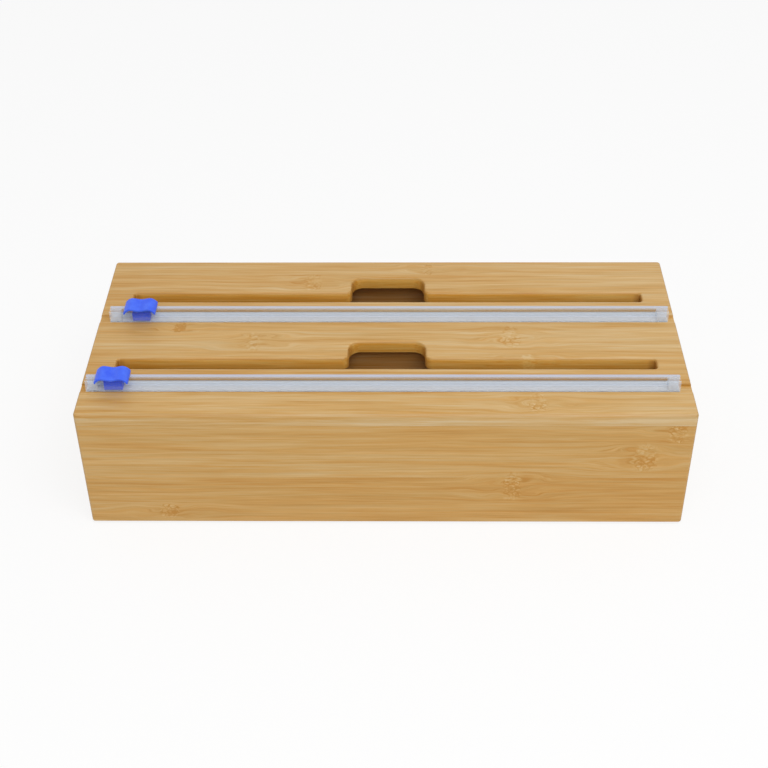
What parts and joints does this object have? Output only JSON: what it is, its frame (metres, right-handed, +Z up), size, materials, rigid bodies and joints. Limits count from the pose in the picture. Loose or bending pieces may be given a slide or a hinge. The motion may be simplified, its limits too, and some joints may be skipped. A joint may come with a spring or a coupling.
{
  "type": "wrap and foil dispenser",
  "caption": "Bamboo box for rolls of cling wrap and foil, with a hinged lid that has dispensing slots, finger notches and slide cutters on clear rails.",
  "frame": {"origin": "bottom of the feet, under the middle of the whole object's box, hinges included", "axes": "+X to the right along the box, -Y toward the front, +Z up"},
  "size_m": [0.35, 0.1624, 0.0952],
  "materials": {
    "bamboo": "satin lacquer over golden bamboo strips",
    "bamboo_inside": "sanded bamboo, not lacquered",
    "dowel_wood": "plain turned wood",
    "magnet_plating": "nickel plating",
    "foot_rubber": "matt",
    "hinge_steel": "brushed",
    "rail_plastic": "clear, slightly milky extrusion",
    "stop_plastic": "clear, slightly milky moulding",
    "adhesive_tape": "white foam tape",
    "slider_plastic": "bright blue moulding",
    "blade_steel": "ground"
  },
  "bodies": {
    "case": {"base_panel": "bamboo_inside", "front_panel": "bamboo", "back_panel": "bamboo", "left_end_panel": "bamboo", "right_end_panel": "bamboo", "divider_panel": "bamboo_inside", "corner_dowels": "dowel_wood", "case_magnets": "magnet_plating", "non_slip_feet": "foot_rubber", "left_hinge_case_leaf": "hinge_steel", "right_hinge_case_leaf": "hinge_steel", "left_hinge_pin": "hinge_steel", "right_hinge_pin": "hinge_steel", "hinge_case_screws": "hinge_steel"},
    "lid": {"lid_panel": "bamboo", "lid_magnets": "magnet_plating", "left_hinge_lid_leaf": "hinge_steel", "right_hinge_lid_leaf": "hinge_steel", "hinge_lid_screws": "hinge_steel", "front_cutter_rail": "rail_plastic", "rear_cutter_rail": "rail_plastic", "front_rail_tape": "adhesive_tape", "rear_rail_tape": "adhesive_tape", "front_rail_end_stops": "stop_plastic", "rear_rail_end_stops": "stop_plastic"},
    "front_cutter": {"front_slider": "slider_plastic", "front_slider_blade": "blade_steel"},
    "rear_cutter": {"rear_slider": "slider_plastic", "rear_slider_blade": "blade_steel"}
  },
  "joints": [
    {"name": "lid_hinge", "type": "hinge", "parent": "case", "child": "lid", "pos_m": [0, 0.07629, 0.0759], "axis": [-1, 0, 0], "range_deg": [0, 105]},
    {"name": "front_cutter_slide", "type": "slide", "parent": "lid", "child": "front_cutter", "axis": [1, 0, 0], "range_m": [-0.0031, 0.3102]},
    {"name": "rear_cutter_slide", "type": "slide", "parent": "lid", "child": "rear_cutter", "axis": [1, 0, 0], "range_m": [-0.0064, 0.3069]}
  ]
}
